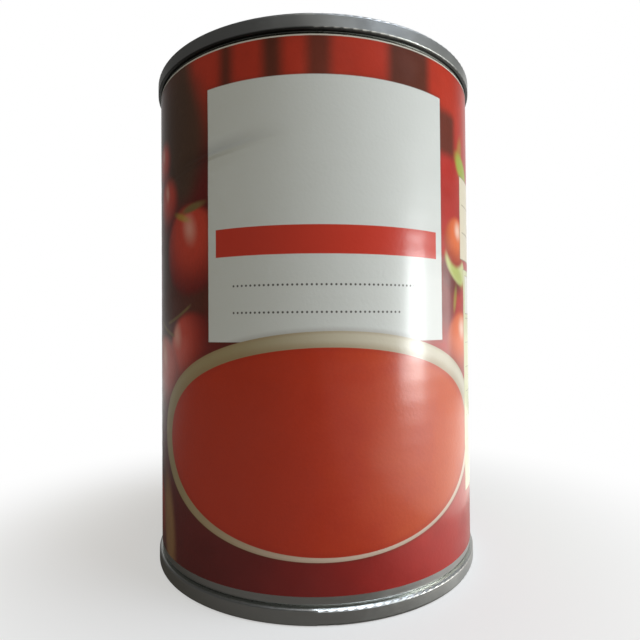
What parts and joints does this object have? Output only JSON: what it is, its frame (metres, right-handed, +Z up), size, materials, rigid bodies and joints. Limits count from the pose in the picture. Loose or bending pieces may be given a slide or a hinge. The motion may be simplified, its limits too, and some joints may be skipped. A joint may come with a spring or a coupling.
{
  "type": "soup tin",
  "caption": "Shut cylindrical food tin with double-seamed ends, a beaded wall, a ring-pull lid and a wrapped paper label that pictures a bowl of tomato soup.",
  "frame": {"origin": "centre of the base, on the plane of the base seam's edge that the tin stands on", "axes": "+Z up along the tin's axis, -Y out through the middle of the label's picture, +X to the picture's right"},
  "size_m": [0.0744, 0.0744, 0.108],
  "materials": {
    "body_tinplate": "bright tinplate",
    "end_tinplate": "satin tinplate",
    "pull_steel": "satin tinplate",
    "label_paper": "glossy printed paper"
  },
  "bodies": {
    "root": {"can_body": "body_tinplate", "lid_end": "end_tinplate", "base_end": "end_tinplate", "ring_pull": "pull_steel", "label": "label_paper"}
  },
  "joints": []
}
